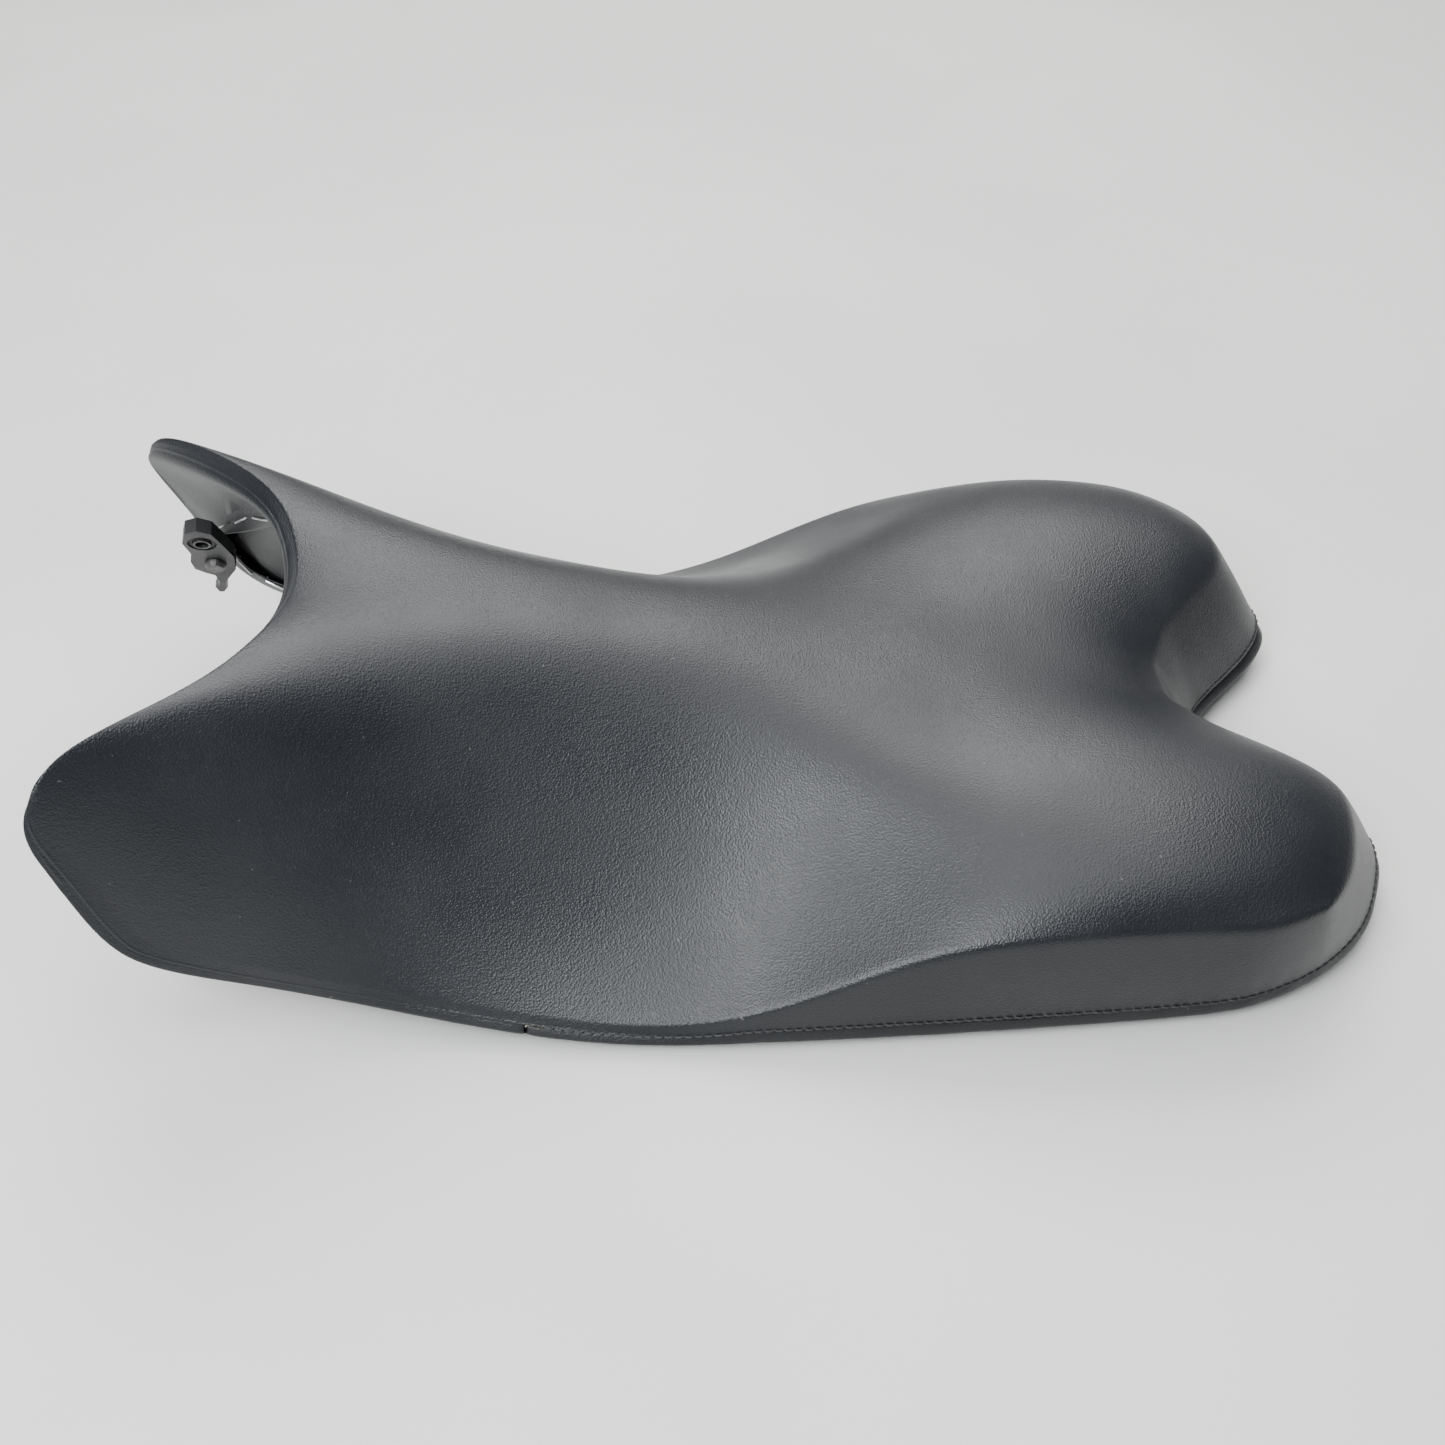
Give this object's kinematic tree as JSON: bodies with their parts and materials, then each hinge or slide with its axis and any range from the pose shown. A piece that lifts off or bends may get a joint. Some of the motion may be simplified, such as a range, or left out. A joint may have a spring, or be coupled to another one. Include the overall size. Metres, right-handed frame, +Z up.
{
  "type": "motorcycle seat",
  "caption": "Rider's front seat of a sport motorcycle: a vinyl-covered foam saddle with a winged nose on a moulded base pan that straddles the tank and frame.",
  "frame": {"origin": "on the floor plane under the middle of the seat, which stands on its six rubber bumpers at Z = 0", "axes": "+X towards the seat's left side, +Y towards its rear (the nose that wraps the tank points to -Y), +Z up"},
  "size_m": [0.2622, 0.4587, 0.1186],
  "materials": {
    "vinyl": "black fine-grain seat vinyl, satin",
    "band_vinyl": "black seat vinyl, satin",
    "foam": "open-cell polyurethane foam, matt",
    "pan_plastic": "black moulded polypropylene, fine texture",
    "rubber": "black rubber, matt",
    "zinc_steel": "zinc-plated steel"
  },
  "bodies": {
    "root": {"base_pan": "pan_plastic", "bumper_left_1": "rubber", "bumper_left_2": "rubber", "bumper_left_3": "rubber", "bumper_right_1": "rubber", "bumper_right_2": "rubber", "bumper_right_3": "rubber", "collar_left": "zinc_steel", "collar_right": "zinc_steel", "cover_band_left": "band_vinyl", "cover_band_right": "band_vinyl", "cover_main": "vinyl", "ear_screw_left": "zinc_steel", "ear_screw_right": "zinc_steel", "foam": "foam", "front_ear_left": "pan_plastic", "front_ear_right": "pan_plastic", "grommet_left": "rubber", "grommet_right": "rubber", "rear_tongue": "zinc_steel", "tongue_screw_1": "zinc_steel", "tongue_screw_2": "zinc_steel"}
  },
  "joints": []
}
